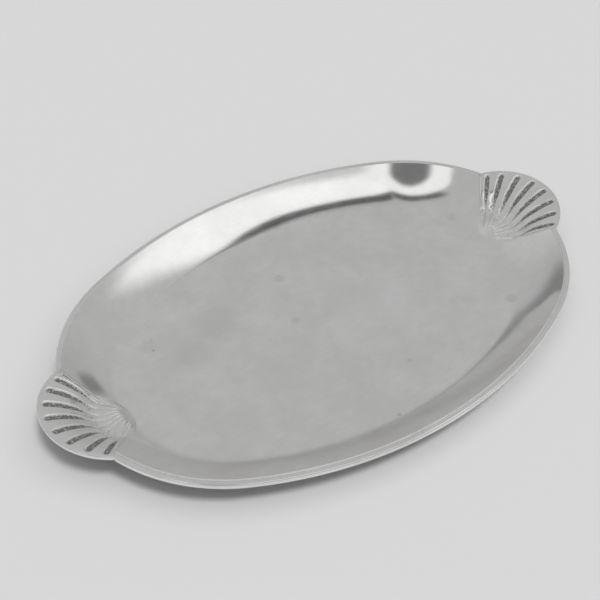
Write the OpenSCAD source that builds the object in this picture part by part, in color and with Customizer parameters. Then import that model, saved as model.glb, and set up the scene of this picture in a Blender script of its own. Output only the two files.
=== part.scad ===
// Oval serving tray with a shell-shaped handle let into each end.
// The dish is one casting with a notch in each end wall. A fluted shell casting fills
// each notch, and a thin bead of brazing metal closes the joint on both of its flanks.
// X runs along the tray, Y across it, Z up. The origin is the middle of the flat base,
// at the height of the table.

/* [Dish] */
// Half the length of the rim, handles left out, at the rim height below
rim_half_length = 202; // [196:0.5:207]
// Half the width of the rim
rim_half_width = 145; // [140:0.5:149]
// Height of the rim above the table, halfway along each long side
rim_height = 26.2; // [24:0.2:28]
// Extra height of the rim at the two ends
rim_rise = 4; // [2:0.5:5]
// Thickness of the floor and of the sloping wall
metal_thick = 3.5; // [3:0.25:4]
// Radius of the cove between the floor and the wall
cove_radius = 15; // [11:1:18]
// Slope of the wall where it leaves the cove, in degrees
wall_low_slope = 30; // [26:1:34]
// Slope of the wall just below the rim, in degrees
wall_top_slope = 45; // [42:1:48]

/* [Shell handles] */
// Distance from the middle of the tray to the point where the flutes meet
shell_focus = 163; // [160:0.5:166]
// How far the axis of the fan leans outward, in degrees
shell_lean = 8; // [6:0.5:10]
// Angle from the middle of the fan to each flank, in degrees
shell_half_angle = 53; // [51:0.5:55]
// Thickness of the fan
shell_thick = 3.2; // [3:0.1:3.6]
// Radius of the round outer edge of the shell
lobe_radius = 50.4; // [49:0.2:52]
// Distance from the focus out to the middle of that round edge
lobe_offset = 12.4; // [11:0.2:14]
// Radius of the hollow at the foot of the fan
valley_radius = 18; // [15:1:20]
// Distance from the focus to the bottom of that hollow
valley_start = 21; // [20:0.5:23]
// Width of the fan's climb, from the hollow to its level outer part
fan_run = 48; // [46:0.5:50]
// Height of that climb, square to the fan's own axis
fan_rise = 18.8; // [17.5:0.1:20]
// Radius in plan of the rounded knob that the flutes run into
knob_radius = 25.5; // [24:0.5:27]
// Height of the knob above the floor
knob_height = 6.8; // [6:0.1:7.4]

/* [Flutes] */
// Depth of the flutes
flute_depth = 1.5; // [0.8:0.1:1.8]
// Angle that a broad flute takes up, in degrees
flute_angle = 4.6; // [3:0.2:6]
// Angle that the thin flute beside each flank takes up, in degrees
thin_flute_angle = 1.4; // [1:0.2:2]
// Width of the plain margin between the flutes and the edge
flute_margin = 4; // [3:0.5:6]

/* [Brazed joint] */
// Width of the bead along each flank of a handle
bead_width = 1.8; // [1.2:0.2:2.4]
// Height of the bead above and below the wall
bead_height = 0.6; // [0.4:0.1:0.9]

/* [Hidden] */
$fn = 96;

// The rim is an oval of four arcs, two tight ones round the ends and two long ones on the
// sides. The centres of an end arc and a side arc are two corners of an 8-15-17 triangle, whose
// third corner is the middle of the tray, and the arcs meet in line with its longest side.
oval_unit = (rim_half_length - rim_half_width) / 6;
end_centre = 8 * oval_unit;
side_centre = 15 * oval_unit;
rim_end_radius = rim_half_length - end_centre;
side_radius = rim_end_radius + 17 * oval_unit;
arc_join = atan(15 / 8);

// The wall is a cove, then a long shallow curve, then a straight stretch that is trimmed
// to leave the rim. Its outline is (distance from the rim line, height).
wall_rise = rim_height - metal_thick;
wall_radius = (wall_rise - cove_radius * (1 - cos(wall_low_slope)))
              / (cos(wall_low_slope) - cos(wall_top_slope));
wall_run = wall_radius * (sin(wall_top_slope) - sin(wall_low_slope));
lip_width = metal_thick / sin(wall_top_slope);
cove_start = lip_width + wall_run + cove_radius * sin(wall_low_slope);
// Extra height that the wall is drawn with, to be trimmed off at the rim
trim_spare = rim_rise + 2;
// Width of the floor that is drawn together with the wall
flat_band = 20;
half_band = flat_band / 2;

// Half the length of the rim where it is highest
full_half_length = rim_half_length + rim_rise / tan(wall_top_slope);

// The fan's outline is two arcs that meet at the steepest point.
fan_slope = 2 * atan(fan_rise / fan_run);
shoulder_radius = fan_run / sin(fan_slope) - valley_radius;
fan_end = valley_start + fan_run;
fan_start = 14;
fan_step = 3;
// The knob's middle is just farther out than its radius, so the flutes meet at its tip.
knob_centre = knob_radius + 1;
knob_half_angle = 70;
// Share of the knob's radius that its rounded shoulder takes up
knob_shoulder = 0.45;
// Directions of the flutes, in degrees from the middle of the fan
flutes = [-44.6, -32.7, -19.4, -6.5, 6.5, 19.4, 32.7, 44.6];
thin_flutes = [-50.4, 50.4];
flute_start = 19;
// Share of a flute's depth at the end where it fades into the knob
flute_fade = 0.3;
// The bead starts a little beyond the place where the flank leaves the knob.
bead_start = knob_centre * cos(shell_half_angle)
             + sqrt(pow(knob_radius, 2) - pow(knob_centre * sin(shell_half_angle), 2)) + 2 * bead_width;
// Reach of the cutting shapes above and below the metal
clear = 60;
below = 15;
// Straight stretches along half of the floor's edge, and along half of the rim's rise
floor_steps = 24;
rim_steps = 12;

// Points of an arc that starts level at its lowest point and climbs from angle a to angle b.
function climb(cx, cz, r, a, b, n) =
    [for (i = [0:n]) let (t = a + (b - a) * i / n) [cx + r * sin(t), cz - r * cos(t)]];

// One face of the wall, from the cove up, moved outward from the metal's top face by drop.
// x is the distance from the rim line, less than nothing on the tray's side.
function wall_face(drop) =
    let (cove_z = metal_thick + cove_radius,
         wall_x = -lip_width - wall_radius * sin(wall_top_slope),
         wall_z = rim_height + wall_radius * cos(wall_top_slope),
         top = [-lip_width + drop * sin(wall_top_slope), rim_height - drop * cos(wall_top_slope)],
         reach = trim_spare + drop)
    concat(climb(-cove_start, cove_z, cove_radius + drop, 0, wall_low_slope, 4),
           rest(climb(wall_x, wall_z, wall_radius + drop, wall_low_slope, wall_top_slope, 5)),
           [top + reach * [cos(wall_top_slope), sin(wall_top_slope)]]);

function rest(list) = [for (i = [1:len(list) - 1]) list[i]];
function reversed(list) = [for (i = [len(list) - 1:-1:0]) list[i]];

// Height of the fan's top face over its own axis, at distance r from the focus.
function fan_top(r) =
    r < valley_start ? shell_thick
    : r < valley_start + valley_radius * sin(fan_slope)
        ? shell_thick + valley_radius - sqrt(pow(valley_radius, 2) - pow(r - valley_start, 2))
        : shell_thick + fan_rise - shoulder_radius
          + sqrt(pow(shoulder_radius, 2) - pow(fan_end - min(r, fan_end), 2));

// Distance along the fan from the focus to the shell's round edge, in the direction of angle
// a. The first line is the distance in plan, and the second allows for the fan's lean.
function edge_at(a) =
    let (plan = lobe_offset * cos(a) + sqrt(pow(lobe_radius, 2) - pow(lobe_offset * sin(a), 2)))
    (plan + (shell_thick + fan_rise) * sin(shell_lean)) / cos(shell_lean);

// Section through the wall and a band of the floor, where the rim line's radius is r. grow
// is the thickness added to both faces. The points lie on whole hundredths of a millimetre,
// so that neighbouring stretches of the wall have the same end face.
module wall_section(r, grow) {
    inner = -cove_start - flat_band;
    points = concat([[inner, -grow]], wall_face(metal_thick + grow),
                    reversed(wall_face(-grow)), [[inner, metal_thick + grow]]);
    polygon([for (p = points) [r + round(100 * p[0]) / 100, round(100 * p[1]) / 100]]);
}

// The curved stretches of the wall, each with a band of the flat floor. Each half of the
// tray has one round its end, made in two halves, and one along its side.
module oval_wall(grow) {
    for (turn = [0, 180])
        rotate([0, 0, turn]) {
            translate([end_centre, 0, 0])
                for (start = [-arc_join, 0])
                    rotate_extrude(start = start, angle = arc_join)
                        wall_section(rim_end_radius, grow);
            translate([0, -side_centre, 0])
                rotate_extrude(start = arc_join, angle = 180 - 2 * arc_join)
                    wall_section(side_radius, grow);
        }
}

// The middle of the floor. Its edge lies halfway across the flat band of the wall pieces.
module floor_middle() {
    end_reach = rim_end_radius - cove_start - half_band;
    side_reach = side_radius - cove_start - half_band;
    end_side = [for (i = [0:floor_steps]) let (a = arc_join * (2 * i / floor_steps - 1))
                [end_centre + end_reach * cos(a), end_reach * sin(a)]];
    far_side = [for (i = [1:floor_steps - 1]) let (a = arc_join + (180 - 2 * arc_join) * i / floor_steps)
                [side_reach * cos(a), side_reach * sin(a) - side_centre]];
    half = concat(end_side, far_side);
    linear_extrude(metal_thick)
        polygon(concat(half, [for (p = half) -p]));
}

// What is trimmed away above the rim: its underside rises towards both ends.
module above_rim() {
    reach = full_half_length + clear;
    sweep = [for (i = [-rim_steps:rim_steps]) let (x = full_half_length * i / rim_steps)
             [x, rim_height + rim_rise * pow(x / full_half_length, 2)]];
    rotate([90, 0, 0])
        linear_extrude(2 * rim_half_width + clear, center = true)
            polygon(concat([[-reach, rim_height + rim_rise]], sweep,
                           [[reach, rim_height + rim_rise], [reach, 2 * clear], [-reach, 2 * clear]]));
}

// Puts a shape of the fan, drawn about its own leaning axis, at the right-hand end.
module at_focus() {
    translate([shell_focus, 0, metal_thick])
        rotate([0, -shell_lean, 0])
            children();
}

// Turns a section about the fan's axis, over an angle that is centred on direction a.
module fan_turn(a, angle) {
    rotate([0, 0, a - angle / 2])
        rotate_extrude(angle = angle)
            children();
}

// Puts the knob's section round its own upright axis, on the side that faces the well.
module knob_turn() {
    translate([shell_focus + knob_centre, 0, metal_thick])
        rotate([0, 0, 180 - knob_half_angle])
            rotate_extrude(angle = 2 * knob_half_angle)
                children();
}

// The space that a handle takes up in the end of the dish.
module notch() {
    at_focus()
        fan_turn(0, 2 * shell_half_angle)
            translate([fan_start, 0])
                square([fan_end, clear]);
    knob_turn()
        square([knob_radius, clear]);
}

// The fan: a bent plate turned about the leaning axis and trimmed to a round edge.
module fan() {
    radii = [valley_start:fan_step:fan_end + fan_step];
    top_face = [for (r = radii) [r, fan_top(r)]];
    low_arc = climb(valley_start, valley_radius + shell_thick, valley_radius + shell_thick,
                    0, fan_slope, 5);
    low_radius = shoulder_radius - shell_thick;
    low_shoulder = [for (i = [4:-1:0]) let (t = fan_slope * i / 5)
                    [fan_end - low_radius * sin(t),
                     shell_thick + fan_rise - shoulder_radius + low_radius * cos(t)]];
    rim_end = [[fan_end + fan_step, fan_rise]];
    intersection() {
        at_focus()
            fan_turn(0, 2 * shell_half_angle)
                polygon(concat([[fan_start, 0]], low_arc, low_shoulder, rim_end,
                               reversed(top_face), [[fan_start, shell_thick]]));
        translate([shell_focus + lobe_offset, 0, 0])
            cylinder(r = lobe_radius, h = clear);
    }
}

// The rounded knob at the foot of the fan, which sits on the floor of the dish.
module knob() {
    knob_turn()
        polygon(concat([[0, 0], [knob_radius, 0]],
                       [for (t = [0:15:90])
                           [knob_radius * (1 - knob_shoulder * (1 - cos(t))), knob_height * sin(t)]],
                       [[0, knob_height]]));
}

// One flute: a slice of the band just under the fan's top face.
module flute(a, angle) {
    outer = edge_at(a) - flute_margin;
    radii = [for (i = [0:8]) flute_start + (outer - flute_start) * i / 8];
    bottom = [for (r = radii)
              [r, fan_top(r) - flute_depth * min(1, (r - flute_start) / valley_start + flute_fade)]];
    at_focus()
        fan_turn(a, angle)
            polygon(concat(bottom, [[outer, clear], [flute_start, clear]]));
}

module shell_handle() {
    difference() {
        union() {
            fan();
            knob();
        }
        for (a = flutes)
            flute(a, flute_angle);
        for (a = thin_flutes)
            flute(a, thin_flute_angle);
    }
}

module dish_casting() {
    difference() {
        union() {
            oval_wall(0);
            floor_middle();
        }
        above_rim();
        notch();
        mirror([1, 0, 0])
            notch();
    }
}

// Bead on the far flank of the right-hand handle: a strip that lies along the joint's
// plane and stands a little proud of the wall on both faces, where the dish is not.
module far_bead() {
    intersection() {
        difference() {
            oval_wall(bead_height);
            above_rim();
            oval_wall(0);
        }
        at_focus()
            rotate([0, 0, shell_half_angle])
                translate([bead_start, 0, -below])
                    cube([fan_end, bead_width, clear]);
    }
}

module dish() {
    color("silver")
        dish_casting();
}

module right_shell_handle() {
    color("lightgray")
        shell_handle();
}

module left_shell_handle() {
    color("lightgray")
        mirror([1, 0, 0])
            shell_handle();
}

module right_far_braze_bead() {
    color("gray")
        far_bead();
}

module right_near_braze_bead() {
    color("gray")
        mirror([0, 1, 0])
            far_bead();
}

module left_far_braze_bead() {
    color("gray")
        mirror([1, 0, 0])
            far_bead();
}

module left_near_braze_bead() {
    color("gray")
        mirror([1, 0, 0])
            mirror([0, 1, 0])
                far_bead();
}

dish();
left_shell_handle();
right_shell_handle();
left_far_braze_bead();
left_near_braze_bead();
right_far_braze_bead();
right_near_braze_bead();
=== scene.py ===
import math

import bmesh
import bpy
import numpy as np
from mathutils import Matrix, Vector


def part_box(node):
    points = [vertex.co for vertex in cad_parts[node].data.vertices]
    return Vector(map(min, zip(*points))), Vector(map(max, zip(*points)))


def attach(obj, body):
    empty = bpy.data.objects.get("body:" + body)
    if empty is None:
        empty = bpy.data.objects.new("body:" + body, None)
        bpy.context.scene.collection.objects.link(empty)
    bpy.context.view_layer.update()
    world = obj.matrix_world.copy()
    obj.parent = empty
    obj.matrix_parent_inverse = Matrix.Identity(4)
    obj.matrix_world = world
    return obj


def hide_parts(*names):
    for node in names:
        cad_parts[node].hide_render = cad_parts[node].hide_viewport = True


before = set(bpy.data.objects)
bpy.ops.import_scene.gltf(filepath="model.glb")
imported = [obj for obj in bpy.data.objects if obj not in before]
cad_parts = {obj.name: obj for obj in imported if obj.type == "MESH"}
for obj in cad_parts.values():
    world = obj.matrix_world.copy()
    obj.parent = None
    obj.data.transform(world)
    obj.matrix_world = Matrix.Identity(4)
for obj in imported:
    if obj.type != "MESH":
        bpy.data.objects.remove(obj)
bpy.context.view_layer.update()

# ---------------------------------------------------------------- The dish
# One casting of aluminium alloy, poured in sand, ground to shape and then polished by hand:
# a flat floor, a cove, a wall that curves up to the rim, and a rolled lip with a round edge.
mm = 0.001
half_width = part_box("dish")[1].y / mm
half_length = half_width + 57.0
metal = 3.5
rim_height = 26.2
end_rise = 4.0
reach = half_length + end_rise

# The rim is an oval of four arcs whose centres are the corners of 8-15-17 triangles.
unit = (half_length - half_width) / 6
end_middle, side_middle = 8 * unit, 15 * unit
end_radius = half_length - end_middle
side_radius = end_radius + 17 * unit
join = math.atan2(15, 8)

cove = 15.0
low_slope, top_slope = math.radians(30), math.radians(45)
lip = metal / math.sin(top_slope)
wall_radius = (rim_height - metal - cove * (1 - math.cos(low_slope))) / (
    math.cos(low_slope) - math.cos(top_slope))
wall_run = wall_radius * (math.sin(top_slope) - math.sin(low_slope))
floor_edge = lip + wall_run + cove * math.sin(low_slope)


def arc(x, z, radius, start, end, steps):
    """Points of an arc about (x, z). Its angles are counted from straight down."""
    angles = [start + (end - start) * i / steps for i in range(steps + 1)]
    return [(x + radius * math.sin(a), z - radius * math.cos(a)) for a in angles]


def wall_line(drop, bends):
    """The wall's section, from the floor's edge to just under the lip, as (outward, height)."""
    wall_x = -lip - wall_radius * math.sin(top_slope)
    wall_z = rim_height + wall_radius * math.cos(top_slope)
    return (arc(-floor_edge, metal + cove, cove + drop, 0, low_slope, bends)
            + arc(wall_x, wall_z, wall_radius + drop, low_slope, top_slope, bends + 2)[1:])


def lip_line():
    """The rolled lip: a round shoulder, a nearly level band and a half-round outer edge."""
    line = []
    shoulder, edge, foot = 2.2, 1.5, 1.2
    crease_wide, shoulder_top = 0.8, -0.3
    for i in range(8):
        a = math.radians(45 - 43 * i / 7)
        inward = shoulder * (math.sin(a) - math.sin(math.radians(45))) * 0.9
        line.append((-lip + crease_wide - inward, shoulder_top - shoulder * (1 - math.cos(a))))
    line.append((-lip / 2 - 0.2, -0.12))
    for i in range(9):
        a = math.radians(90 * i / 8)
        line.append((-edge + edge * math.sin(a), -edge + edge * math.cos(a) - 0.02))
    for i in range(6):
        a = math.radians(115 * i / 5)
        line.append((-foot + foot * math.cos(a), -3.3 - foot * math.sin(a)))
    return line


top_wall = wall_line(0, 9)
under_wall = wall_line(metal, 5)[::-1]
edge_line = lip_line()


def oval(angle, outward):
    """A point of the oval that lies outward of the rim line, where the rim faces angle."""
    c, s = math.cos(angle), math.sin(angle)
    if abs(c) >= math.cos(join) - 1e-9:
        return (math.copysign(end_middle, c) + (end_radius + outward) * c, (end_radius + outward) * s)
    return ((side_radius + outward) * c, (side_radius + outward) * s - math.copysign(side_middle, s))


def lift(x):
    """How much higher the rim is at x than halfway along the long sides."""
    return end_rise * (x / reach) ** 2


def hand_wave(x, y):
    """The slight waves that grinding by hand leaves in the metal."""
    return (0.035 * math.sin(x / 17 + 1.3 * math.sin(y / 23)) + 0.03 * math.sin(y / 13 - x / 41)
            + 0.02 * math.sin((x + y) / 9.5))


end_steps, side_steps = 72, 96
turns = ([-join + 2 * join * i / end_steps for i in range(end_steps)]
         + [join + (math.pi - 2 * join) * i / side_steps for i in range(side_steps)])
turns += [a + math.pi for a in turns]
# The end rise sets in over the outer 7 mm of the wall.
rise_run = 7
# The rings on the floor and on the base, as shares of the floor's outline.
floor_shares = [0.03, 0.15, 0.3, 0.45, 0.6, 0.72, 0.82, 0.9, 0.96]
base_shares = [0.9, 0.6, 0.3, 0.03]

points, rings = [], []


def add_ring(place):
    """Adds one ring of points round the dish."""
    ring = []
    for a in turns:
        ring.append(len(points))
        points.append(place(a))
    rings.append(ring)


for share in floor_shares:
    def place(a, share=share):
        x, y = oval(a, -floor_edge)
        x, y = x * share, y * share
        return (x, y, metal + hand_wave(x, y))
    add_ring(place)
for out, high in top_wall:
    def place(a, out=out, high=high):
        grown = max(0.0, (out + lip + rise_run) / rise_run)
        base = lift(oval(a, 0)[0]) * grown * grown
        x, y = oval(a, out + base)
        return (x, y, high + base + hand_wave(x, y) * 0.8)
    add_ring(place)
for out, drop in edge_line:
    def place(a, out=out, drop=drop):
        base = lift(oval(a, 0)[0])
        x, y = oval(a, out + base)
        return (x, y, rim_height + base + drop)
    add_ring(place)
for out, high in under_wall:
    def place(a, out=out, high=high):
        grown = max(0.0, (out + rise_run) / rise_run)
        base = lift(oval(a, 0)[0]) * min(1.0, grown * grown)
        x, y = oval(a, out + base)
        return (x, y, high + base)
    add_ring(place)
for share in base_shares:
    def place(a, share=share):
        x, y = oval(a, -floor_edge)
        return (x * share, y * share, 0.0)
    add_ring(place)

faces = []
for low_ring, high_ring in zip(rings, rings[1:]):
    for i in range(len(turns)):
        j = (i + 1) % len(turns)
        faces.append((low_ring[i], low_ring[j], high_ring[j], high_ring[i]))
faces.append(tuple(rings[0]))
faces.append(tuple(reversed(rings[-1])))


def build(name, points, faces):
    """Makes a closed, smooth object of points in millimetres."""
    mesh = bpy.data.meshes.new(name)
    mesh.from_pydata([tuple(c * mm for c in p) for p in points], [], faces)
    made = bpy.data.objects.new(name, mesh)
    bpy.context.scene.collection.objects.link(made)
    work = bmesh.new()
    work.from_mesh(mesh)
    bmesh.ops.remove_doubles(work, verts=work.verts, dist=0.00001 * mm)
    bmesh.ops.delete(work, geom=[v for v in work.verts if not v.link_faces], context="VERTS")
    bmesh.ops.recalc_face_normals(work, faces=work.faces)
    work.to_mesh(mesh)
    work.free()
    mesh.shade_smooth()
    return made


def place_key(p):
    """A point in millimetres, rounded so that it can be found again in a rebuilt mesh."""
    return tuple(round(c * 100) for c in p)


def mark_recess(made, depths):
    """Stores on the mesh how much dark colour each point gets: casting skin on the shells, painted
    shade in the dish's crease. Points not in depths get none.
    """
    layer = made.data.attributes.new("recess", "FLOAT", "POINT")
    for i, v in enumerate(made.data.vertices):
        layer.data[i].value = depths.get(place_key(v.co / mm), 0.0)


dish = build("dish_casting", points, faces)
# Where the lip meets the wall, a thin dark line of painted shade runs along the crease.
crease_at = len(floor_shares) + len(top_wall)
crease_shade = {place_key(points[i]): 0.8 for ring in rings[crease_at:crease_at + 2] for i in ring}
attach(dish, "root")
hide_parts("dish")

# The end walls are notched for the handles: a fan-shaped gap above the floor at each end.
focus = 163.0
lean = math.radians(8)
flank = math.radians(54)
knob_radius = 25.5
knob_middle = knob_radius + 1
lobe_radius = 50.4
lobe_middle = 12.4
valley_start = 21.0

half_chord = math.sqrt(knob_radius ** 2 - (knob_middle * math.sin(flank)) ** 2)
near_chord = knob_middle * math.cos(flank) - half_chord
far_chord = knob_middle * math.cos(flank) + half_chord


def notch(side):
    """The solid that is cut out of one end wall."""
    turn = math.atan2(far_chord * math.sin(flank), far_chord * math.cos(flank) - knob_middle)

    def along(r, hand):
        return (r * math.cos(flank), hand * r * math.sin(flank))

    plan = [(knob_middle + knob_radius * math.cos(a), knob_radius * math.sin(a))
            for a in np.linspace(2 * math.pi - turn, turn, 29)]
    bend, far, top = valley_start / math.cos(flank), 90.0, 60.0
    plan += [along(bend, 1), along(far, 1), (far, far), (far, -far), along(far, -1), along(bend, -1)]
    low = [(side * (focus + x), y, metal + 0.02 + max(0.0, x - valley_start) * math.tan(lean))
           for x, y in plan]
    high = [(x, y, top) for x, y, z in low]
    n = len(plan)
    sides = [(i, (i + 1) % n, n + (i + 1) % n, n + i) for i in range(n)]
    # Under the knob the cut is level, and under the fan it climbs outward.
    level_part = tuple(range(30)) + (n - 1,)
    return build("notch", low + high, sides + [level_part, tuple(range(29, n)), tuple(range(n, 2 * n))])


for side in (1, -1):
    cutter = notch(side)
    cut = dish.modifiers.new("notch", "BOOLEAN")
    cut.operation, cut.solver, cut.object = "DIFFERENCE", "EXACT", cutter
    shown = bpy.context.evaluated_depsgraph_get()
    cut_mesh = bpy.data.meshes.new_from_object(dish.evaluated_get(shown))
    dish.modifiers.clear()
    dish.data = cut_mesh
    bpy.data.objects.remove(cutter)
dish.data.shade_smooth()
dish.data.set_sharp_from_angle(angle=math.radians(40))
mark_recess(dish, crease_shade)


class Finish:
    """One socket of a shader. Arithmetic on it adds Math nodes, and node() adds any other node."""

    def __init__(self, tree, socket=None):
        self.tree, self.socket = tree, socket

    def node(self, kind, settings=None, sockets=None, out=0):
        """Adds a node of this kind, with its settings, socket values and links."""
        made = self.tree.nodes.new(kind)
        for name, value in (settings or {}).items():
            setattr(made, name, value)
        for key, value in (sockets or {}).items():
            if isinstance(value, Finish):
                self.tree.links.new(value.socket, made.inputs[key])
            else:
                made.inputs[key].default_value = value
        return Finish(self.tree, made.outputs[out] if made.outputs else None)

    def maths(self, operation, *others):
        return self.node("ShaderNodeMath", {"operation": operation}, dict(enumerate((self, *others))))

    def __add__(self, other): return self.maths("ADD", other)
    __radd__ = __add__
    def __sub__(self, other): return self.maths("SUBTRACT", other)
    def __mul__(self, other): return self.maths("MULTIPLY", other)
    __rmul__ = __mul__

    def __rsub__(self, other):
        return self.node("ShaderNodeMath", {"operation": "SUBTRACT"}, {0: other, 1: self})

    def between(self, low, high):
        """0 below low, 1 above high and a soft step in between."""
        return self.node("ShaderNodeMapRange", {"interpolation_type": "SMOOTHSTEP"},
                         {0: self, 1: low, 2: high})

    def tint(self, first, second):
        """Mixes two colours, with this value as the share of the second."""
        return self.node("ShaderNodeMix", {"data_type": "RGBA"}, {0: self, 6: first, 7: second}, 2)


def grey(value, warm=0.0):
    """A grey that is a little warm."""
    return (value * (1 + warm), value, value * (1 - warm * 1.6), 1.0)


def spots(shade, place, marks):
    """Soft round marks: the largest of several spots, each (x, y, radius, strength) in mm."""
    total = None
    for x, y, radius, strength in marks:
        away = shade.node("ShaderNodeVectorMath", {"operation": "DISTANCE"},
                          {0: place, 1: (x * mm, y * mm, metal * mm)}, "Value")
        spot = (1 - away.between(0.3 * radius * mm, radius * mm)) * strength
        total = spot if total is None else total.maths("MAXIMUM", spot)
    return total


def cast_metal(name, bright, rough, patina_and_shade=None, marks=()):
    """Aluminium that was cast, ground and polished, with fine scratches and a clouded surface.

    The patina colour darkens its recesses: the dark casting skin in the shell's flutes, and painted
    shade along the dish's crease. Marks are the dull spots that use has left."""
    material = bpy.data.materials.new(name)
    material.use_nodes = True
    tree = material.node_tree
    tree.nodes.clear()
    shade = Finish(tree)
    place = shade.node("ShaderNodeTexCoord", out="Object")

    def noise(at, size, detail):
        """Noise whose features are about size millimetres."""
        return shade.node("ShaderNodeTexNoise", {}, {"Vector": at, "Scale": 1 / (size * mm),
                                                     "Detail": detail})

    def scratches(turn, stretch, size, low, high):
        """Fine scratches that all run one way."""
        turned = shade.node("ShaderNodeMapping", {}, {
            "Vector": place, "Rotation": (0, 0, math.radians(turn)), "Scale": (stretch, 1, 1)})
        return noise(turned, size, 3.0).between(low, high)

    cloud = noise(place, 42, 3.0)
    mottle = noise(place, 8, 4.0)
    grain = noise(place, 0.8, 2.0)
    brushed = scratches(28, 0.06, 1.1, 0.45, 0.8)
    crossed = scratches(-52, 0.045, 0.9, 0.52, 0.85)
    worn = cloud * 0.6 + mottle * 0.3 + brushed * 0.1
    colour = worn.between(0.3, 0.7).tint(grey(0.94 * bright, 0.006), grey(1.05 * bright, 0.002))
    # The level floor has the dullest polish, and the wall and the rim are buffed brighter.
    above = shade.node("ShaderNodeSeparateXYZ", {}, {0: place}, "Z")
    level_floor = 1 - above.between(4.2 * mm, 7 * mm)
    roughness = (rough + level_floor * 0.12 + cloud * 0.04 + mottle * 0.02
                 + brushed * 0.03 + crossed * 0.02)
    metallic = 1.0
    height = brushed * 0.3 + crossed * 0.25 + grain * 0.12
    if marks:
        dull = spots(shade, place, marks)
        colour = (dull * (0.4 + mottle * 0.6)).tint(colour, grey(0.6 * bright, 0.01))
        roughness = roughness + dull * 0.12
    # Recesses darken towards the patina colour: real casting skin in the shell's flutes, painted shade
    # in the dish's crease.
    if patina_and_shade:
        recess = shade.node("ShaderNodeAttribute", {"attribute_name": "recess"}, out="Fac")
        granular = noise(place, 1.3, 3.0).between(0.3, 0.72)
        dark = (recess * (1.25 - granular * 0.5)).maths("MINIMUM", 1.0)
        colour = dark.tint(colour, patina_and_shade)
        roughness = roughness + dark * 0.25
        metallic = 1 - dark * 0.45
        height = height + granular * recess * 1.2
    bump = shade.node("ShaderNodeBump", {}, {"Strength": 0.25, "Distance": 0.00004, "Height": height})
    surface = shade.node("ShaderNodeBsdfPrincipled", {}, {
        "Base Color": colour, "Metallic": metallic, "Roughness": roughness, "Normal": bump})
    shade.node("ShaderNodeOutputMaterial", {}, {"Surface": surface})
    return material


# Marks of use on the floor: pits, a dent and dull, scratched places, as (x, y, radius, strength).
worn_places = ((-122.3, 46.5, 1.7, 1.0), (-118.7, 56.6, 1.3, 0.8), (-10.2, -108.0, 2.4, 0.8),
               (-1.7, 58.0, 6.0, 0.4), (133.5, -66.6, 7.0, 0.4), (-70.3, 43.2, 27.0, 0.3),
               (-98.6, 24.7, 21.0, 0.25), (-17.8, 11.1, 5.5, 0.3), (27.6, -71.9, 3.0, 0.35),
               (105.4, -49.3, 9.0, 0.2), (160.0, 36.0, 6.0, 0.35), (-124.0, 52.0, 9.0, 0.2))
dish.data.materials.clear()
# The dish's recess colour is painted shade: it darkens only the crease line under the lip.
dish.data.materials.append(cast_metal("cast_aluminium", 0.86, 0.06, grey(0.2, 0.06), worn_places))

# ---------------------------------------------------------------- The shell handles
# Two small castings in the shape of a scallop shell, set into the notches of the dish. Their
# ribs are polished bright, and the flutes between them keep the dark skin of the casting.
plate = 3.2
edge_round = 1.6
valley_radius = 18.0
fan_run, fan_rise = 48.0, 18.8
fan_slope = 2 * math.atan(fan_rise / fan_run)
shoulder = fan_run / math.sin(fan_slope) - valley_radius
fan_end = valley_start + fan_run
knob_crest, knob_fall = 7.0, 2.8
wall_out = [out for out, high in top_wall] + [8.0]
wall_high = [high for out, high in top_wall] + [top_wall[-1][1] + 8.0 - top_wall[-1][0]]


def fan_height(r):
    """Height of the fan over its own axis at distance r from the focus."""
    valley = np.maximum(valley_radius ** 2 - (r - valley_start) ** 2, 0)
    crown = np.maximum(shoulder ** 2 - (fan_end - np.minimum(r, fan_end)) ** 2, 0)
    inside = plate + valley_radius - np.sqrt(valley)
    outside = plate + fan_rise - shoulder + np.sqrt(crown)
    return np.where(r < valley_start, plate,
                    np.where(r < valley_start + valley_radius * math.sin(fan_slope), inside, outside))


def wall_level(x, y):
    """Height above the floor of the dish's wall and lip, at x and y from the focus."""
    out = np.hypot(x + focus - end_middle, y) - end_radius
    high = np.interp(out, wall_out, wall_high) - metal
    return np.minimum(high, rim_height - metal - 0.3 + end_rise * ((x + focus) / reach) ** 2)


def soft_step(a, b, x):
    """0 below a, 1 above b and a soft step in between."""
    t = np.clip((x - a) / (b - a), 0, 1)
    return t * t * (3 - 2 * t)


def lobe_edge(angle):
    """Distance in plan from the focus to the shell's round edge."""
    s = lobe_middle * np.sin(angle)
    return lobe_middle * np.cos(angle) + np.sqrt(lobe_radius ** 2 - s * s)


broad = [-44.6, -32.7, -19.4, -6.5, 6.5, 19.4, 32.7, 44.6]
thin = [-50.4, 50.4]


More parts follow.
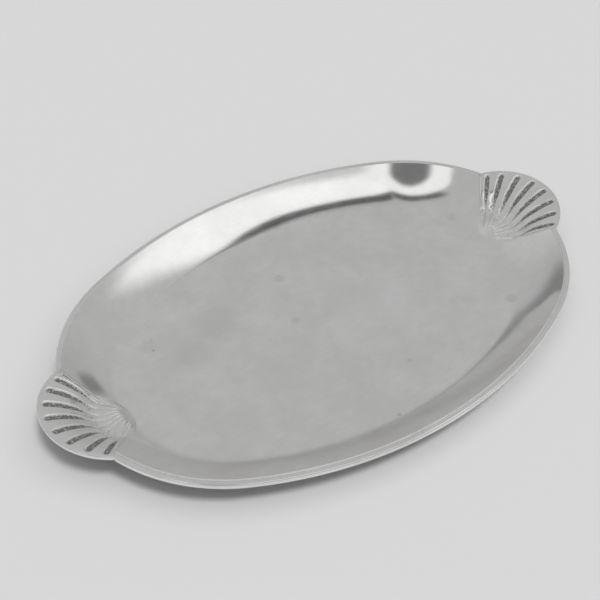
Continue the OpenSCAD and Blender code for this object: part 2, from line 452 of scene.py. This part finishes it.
def shell_surface(x, y, fluted=True):
    """Height above the floor and depth of dark casting skin, at x and y from the focus, in millimetres.
    """
    cos_l, sin_l = math.cos(lean), math.sin(lean)
    z = np.zeros_like(x)
    for _ in range(6):
        along = x * cos_l + z * sin_l
        z = (fan_height(np.hypot(along, y)) + x * sin_l) / cos_l
    r, a = np.hypot(along, y), np.arctan2(y, along)
    # The knob: a low round swelling that follows the shell's foot, with a hollow behind it.
    disc = knob_radius - np.hypot(x - knob_middle, y)
    knob = (knob_crest * np.sin(np.clip(disc / 12, 0, 1) * math.pi / 2)
            - knob_fall * soft_step(12, 23, disc))
    run = 2.0
    mixed = np.clip(0.5 + 0.5 * (z - knob) / run, 0, 1)
    z = knob + (z - knob) * mixed + run * mixed * (1 - mixed)
    edge = lobe_edge(np.arctan2(y, x))
    plan = np.hypot(x, y)
    recess = np.zeros_like(x)
    depth = np.zeros_like(x)
    for at, wide in [(b, True) for b in broad] + [(b, False) for b in thin]:
        q = r * (a - math.radians(at))
        if wide:
            half = 0.85 + 2.1 * soft_step(26, 48, r) - 0.35 * (abs(at) > 40)
            deep = 0.7 + 0.7 * soft_step(30, 46, r)
            stop = edge - plan - 2.8
        else:
            half = 0.55 + 0.15 * soft_step(30, 50, r)
            deep = 0.6
            stop = edge - plan - 5.0
        beyond = np.maximum(half - stop, 0)
        off = np.hypot(q, beyond) / half
        start = soft_step(8.0, 15.0, r)
        bowl = soft_step(0, 0.55, np.clip(1.05 - off, 0, 1)) * start
        depth = np.maximum(depth, bowl * deep)
        shade = bowl * (0.42 + 0.2 * soft_step(12, 28, r) + 0.38 * soft_step(27, 42, r))
        recess = np.maximum(recess, shade if wide else 0.85 * shade)
    # Between two flutes the metal swells into a rib, most of all near the knob.
    lines = np.radians(np.array(sorted(broad + thin)))
    gap = np.min(np.abs(a[..., None] - lines), axis=-1) * r
    swell = np.clip(gap / np.maximum(r * 0.11, 0.5), 0, 1)
    ridge = 0.6 * (1 - (1 - swell) ** 2) * soft_step(12, 20, r) * (1 - 0.85 * soft_step(34, 50, r))
    ridge = ridge * (np.abs(a) < math.radians(51))
    if fluted:
        z = z - depth + ridge
    # The outer edge is rounded over.
    t = np.clip((edge - plan) / edge_round, 0, 1)
    z = z - edge_round * (1 - np.sqrt(1 - (1 - t) ** 2))
    # The flanks roll down to the wall, and the knob's foot runs out onto the floor.
    level = wall_level(x, y)
    side = plan * np.sin(np.clip(flank - np.abs(np.arctan2(y, x)), 0, None))
    t = np.clip(side / 2.6, 0, 1)
    rolled = np.sqrt(1 - (1 - t) ** 2) * soft_step(12, 26, plan)
    blend = np.maximum(rolled, soft_step(-1.5, 8.0, disc))
    blend = np.where((disc <= 0.001) & (side <= 0.001), 0, blend)
    z = level - 0.12 * (1 - blend) + (z - level) * blend
    return z, recess


def shell_mesh(name, side):
    """One handle as a closed mesh, with the depth of its dark casting skin as an attribute."""
    bend = 4 * np.sin(np.linspace(0, math.pi / 2, 11))
    columns = np.radians(np.concatenate([-50 - bend[::-1], np.arange(-49.5, 49.9, 0.5), 50 + bend]))
    columns[0], columns[-1] = -flank, flank
    low_rows, high_rows, edge_rows, cheek_rows = 34, 39, 8, 9
    xs, ys, cells = [], [], []

    def grid(px, py, turned=False):
        """Adds a grid of points, and a cell between each four of them."""
        first = sum(len(v) for v in xs)
        rows, cols = px.shape
        xs.append(px.ravel())
        ys.append(py.ravel())
        for j in range(rows - 1):
            for i in range(cols - 1):
                at = first + j * cols + i
                cell = (at, at + cols, at + cols + 1, at + 1)
                cells.append(cell[::-1] if turned else cell)

    share = np.linspace(0, 1, low_rows + 1)
    chord = np.sqrt(knob_radius ** 2 - (knob_middle * np.sin(columns)) ** 2)
    start = knob_middle * np.cos(columns) - chord
    end = lobe_edge(columns)
    low = start + (far_chord - start) * share[:, None]
    up = far_chord + (end - edge_round - far_chord) * np.linspace(0, 1, high_rows)[:, None]
    last = end - edge_round * (1 - np.sin(np.linspace(0, math.pi / 2, edge_rows)[1:]))[:, None]
    ray = np.concatenate([low, up[1:], last])
    grid(ray * np.cos(columns), ray * np.sin(columns))
    # The knob's two cheeks, between the flanks' lines and its own round foot.
    chord = near_chord + (far_chord - near_chord) * share
    cx, cy = chord * math.cos(flank), chord * math.sin(flank)
    first = math.atan2(cy[0], cx[0] - knob_middle)
    final = math.atan2(cy[-1], cx[-1] - knob_middle)
    turn = first + (final - first) * share
    ax, ay = knob_middle + knob_radius * np.cos(turn), knob_radius * np.sin(turn)
    across = np.linspace(0, 1, cheek_rows)
    px = cx[:, None] + (ax - cx)[:, None] * across
    py = cy[:, None] + (ay - cy)[:, None] * across
    grid(px, py)
    grid(px, -py, turned=True)

    x, y = np.concatenate(xs), np.concatenate(ys)
    z, recess = shell_surface(x, y)

    def plain(x, y):
        return shell_surface(x, y, False)[0]

    # The underside follows the fan without its flutes, one plate's thickness away from it.
    h = 0.4
    slope = np.minimum(1.1, np.hypot((plain(x + h, y) - plain(x - h, y)) / (2 * h),
                                     (plain(x, y + h) - plain(x, y - h)) / (2 * h)))
    plan = np.hypot(x, y)
    t = np.clip((lobe_edge(np.arctan2(y, x)) - plan) / edge_round, 0, 1)
    rounded = edge_round * (1 - np.sqrt(1 - (1 - t) ** 2))
    thick = plate * np.sqrt(1 + slope ** 2)
    under = plain(x, y) + rounded - thick
    under = under + rounded * (thick - plate + edge_round) / edge_round
    under = np.maximum(under, np.where(plan < 36, 0.0, -9))
    under = np.minimum(under, z - 0.2)
    under = np.where(t < 1e-6, z, under)

    # Points that lie in the same place count as one, and an edge with one cell gets a side wall.
    n = len(x)
    found = {}
    same = [found.setdefault((round(a, 4), round(b, 4)), i) for i, (a, b) in enumerate(zip(x, y))]
    edges = {}
    for c in cells:
        ring = [same[i] for i in c]
        for a, b in zip(ring, ring[1:] + ring[:1]):
            if a != b:
                edges.setdefault((min(a, b), max(a, b)), []).append((a, b))
    faces = list(cells) + [tuple(n + i for i in c[::-1]) for c in cells]
    for pairs in edges.values():
        if len(pairs) == 1:
            a, b = pairs[0]
            faces.append((b, a, n + a, n + b))
    kept = []
    for f in faces:
        ring = tuple(dict.fromkeys(same[i] if i < n else n + same[i - n] for i in f))
        if len(ring) >= 3:
            kept.append(ring)
    points = [(side * (focus + a), side * b, metal + c)
              for high in (z, under) for a, b, c in zip(x, y, high)]
    made = build(name, points, kept)
    mark_recess(made, {place_key(p): depth for p, depth in zip(points, recess)})
    return made


shell_finish = cast_metal("shell_casting", 0.86, 0.1, grey(0.07, 0.02))
for name, side in (("right_shell", 1), ("left_shell", -1)):
    shell = shell_mesh(name, side)
    shell.data.set_sharp_from_angle(angle=math.radians(62))
    shell.data.materials.append(shell_finish)
    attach(shell, "root")
    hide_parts(name + "_handle")

# ---------------------------------------------------------------- The brazed beads
# Four thin beads of filler metal that close the joints on the flanks of the handles. They
# were filed down to a low round line and buffed together with the rim.
braze_finish = cast_metal("braze_metal", 0.8, 0.16)
shape = [(-0.75 + 1.9 * i / 8, 0.42 * math.sin(math.pi * i / 8) - 0.1) for i in range(9)]
shape += [(1.1, -1.0), (-0.7, -1.0)]
stations = np.linspace(30.5, 55.0, 40)
for name, side, hand in (("right_far", 1, 1), ("right_near", 1, -1),
                         ("left_far", -1, 1), ("left_near", -1, -1)):
    points, faces = [], []
    for k, along in enumerate(stations):
        taper = min(1.0, (k + 1) / 4, (len(stations) - k) / 4)
        for across, high in shape:
            x = along * math.cos(flank) - across * math.sin(flank)
            y = along * math.sin(flank) + across * math.cos(flank)
            level = float(wall_level(np.array([x]), np.array([y]))[0])
            points.append((side * (focus + x), y * hand, metal + level + high * taper))
    n = len(shape)
    for k in range(len(stations) - 1):
        for i in range(n):
            j = (i + 1) % n
            faces.append((k * n + i, k * n + j, (k + 1) * n + j, (k + 1) * n + i))
    faces += [tuple(range(n)), tuple(range(len(points) - n, len(points)))]
    bead = build(name + "_bead", points, faces)
    bead.data.materials.append(braze_finish)
    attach(bead, "root")
    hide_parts(name + "_braze_bead")

# ---------------------------------------------------------------- The studio
# A table of pale paper under two soft lights, the room that the metal reflects, and a lens at
# the angle of a person who stands at the long side of the tray, towards its left-hand end.
table_mesh = bpy.data.meshes.new("table_top")
table_mesh.from_pydata([(x * 6, y * 6, -0.2 * mm) for x, y in ((-1, -1), (1, -1), (1, 1), (-1, 1))],
                       [], [(0, 1, 2, 3)])
table_top = bpy.data.objects.new("table_top", table_mesh)
bpy.context.scene.collection.objects.link(table_top)
paper = bpy.data.materials.new("table_paper")
paper.use_nodes = True
matt = paper.node_tree.nodes["Principled BSDF"]
matt.inputs["Base Color"].default_value = (0.225, 0.225, 0.225, 1)
matt.inputs["Roughness"].default_value = 0.9
table_mesh.materials.append(paper)

world = bpy.data.worlds.new("studio")
bpy.context.scene.world = world
world.use_nodes = True
world.node_tree.nodes.clear()
air = Finish(world.node_tree)
way = air.node("ShaderNodeTexCoord", out="Generated")


def toward(x, y, z):
    """How far the direction of sight points along an axis."""
    return air.node("ShaderNodeVectorMath", {"operation": "DOT_PRODUCT"}, {0: way, 1: (x, y, z)},
                    "Value")


# Height over the horizon, and bearing clockwise from the way the lens looks, both in degrees.
degrees = 180 / math.pi
height = toward(0, 0, 1).maths("ARCSINE") * degrees
bearing = toward(0.8395, -0.5434, 0).maths("ARCTAN2", toward(0.5434, 0.8395, 0)) * degrees


def lit(level, value, inside):
    """Replaces the level with value where inside is 1."""
    return level + (value - level) * inside


def band(angle, low, high, soft):
    """1 from low to high, with soft ends."""
    return angle.between(low - soft, low + soft) * (1 - angle.between(high - soft, high + soft))


level = 0.46 + height.between(-10, 40) * 0.12
level = lit(level, 0.64, band(bearing, -80, -45, 12) * band(height, 15, 50, 10))
level = lit(level, 0.28, band(bearing, -40, -6, 6) * (1 - height.between(6, 16)))
level = lit(level, 0.26, band(bearing, 27, 35, 2.5) * band(height, 9, 18, 2))
# Behind the lens on the right: a tall bright window with a dark frame along its top.
inside = bearing.between(74, 88) * (1 - bearing.between(160, 172))
foot = 36 + bearing.between(90, 150) * 18
crown = 62 + bearing.between(92, 150) * 9
level = lit(level, 0.12, bearing.between(60, 72) * (1 - bearing.between(163, 167))
            * (height - crown).between(-1, 1) * (1 - (height - crown).between(5, 7)))
level = lit(level, 1.2, inside * (height - foot).between(-4, 4) * (1 - (height - crown).between(-1, 1)))
# The dark shape of the lens and its stand, with the window's light spread round it.
past = bearing.maths("WRAP", 360.0, 0.0)


def oval_card(middle, wide, high_middle, tall):
    """How far out a direction is from the middle of an oval card: 1 at its edge."""
    a, b = (past - middle) * (1 / wide), (height - high_middle) * (1 / tall)
    return a * a + b * b


spread_light = oval_card(192, 38, 59, 15.5)
level = lit(level, 0.12, (1 - spread_light.between(1.5, 1.75)) * height.between(62, 68)
            * past.between(163, 170))
level = lit(level, 1.15, 1 - spread_light.between(0.85, 1.1))
level = lit(level, 0.22, 1 - oval_card(190, 19, 57, 11).between(0.6, 1.3))
glow = air.node("ShaderNodeBackground", {}, {"Color": level, "Strength": 0.86})
air.node("ShaderNodeOutputWorld", {}, {"Surface": glow})

# Two soft lights over the lens, a small one and a wide one. Their bearing is from straight
# in front of the tray, turned by this slope towards its right-hand end.
light_across = 0.037
for name, spread, high, power in (("near_key", 12, 66, 4.6), ("wide_key", 90, 70, 3.8)):
    key_light = bpy.data.lights.new(name, "SUN")
    key_light.angle, key_light.energy = math.radians(spread), power
    key = bpy.data.objects.new(name, key_light)
    bpy.context.scene.collection.objects.link(key)
    key.rotation_mode = "QUATERNION"
    to_light = Vector((light_across, -1.0, math.tan(math.radians(high))))
    key.rotation_quaternion = to_light.to_track_quat("Z", "Y")
    key.visible_glossy = False

# The lens, a little longer than a normal one.
lens = bpy.data.cameras.new("lens")
lens.sensor_width, lens.lens = 36.0, 59.52
lens.clip_start, lens.clip_end = 0.01, 50.0
camera = bpy.data.objects.new("camera", lens)
bpy.context.scene.collection.objects.link(camera)
eye = Vector((-306.41, -441.91, 545.95)) * mm
aim = Vector((-2.24, 27.88, 3.5)) * mm
ahead = (aim - eye).normalized()
across = ahead.cross(Vector((0, 0, 1))).normalized()
upward = across.cross(ahead)
tilt = math.radians(-1.731)
right = across * math.cos(tilt) + upward * math.sin(tilt)
top = upward * math.cos(tilt) - across * math.sin(tilt)
camera.matrix_world = Matrix((
    (right.x, top.x, -ahead.x, eye.x), (right.y, top.y, -ahead.y, eye.y),
    (right.z, top.z, -ahead.z, eye.z), (0, 0, 0, 1)))
bpy.context.scene.camera = camera
bpy.context.scene.view_settings.view_transform = "Standard"
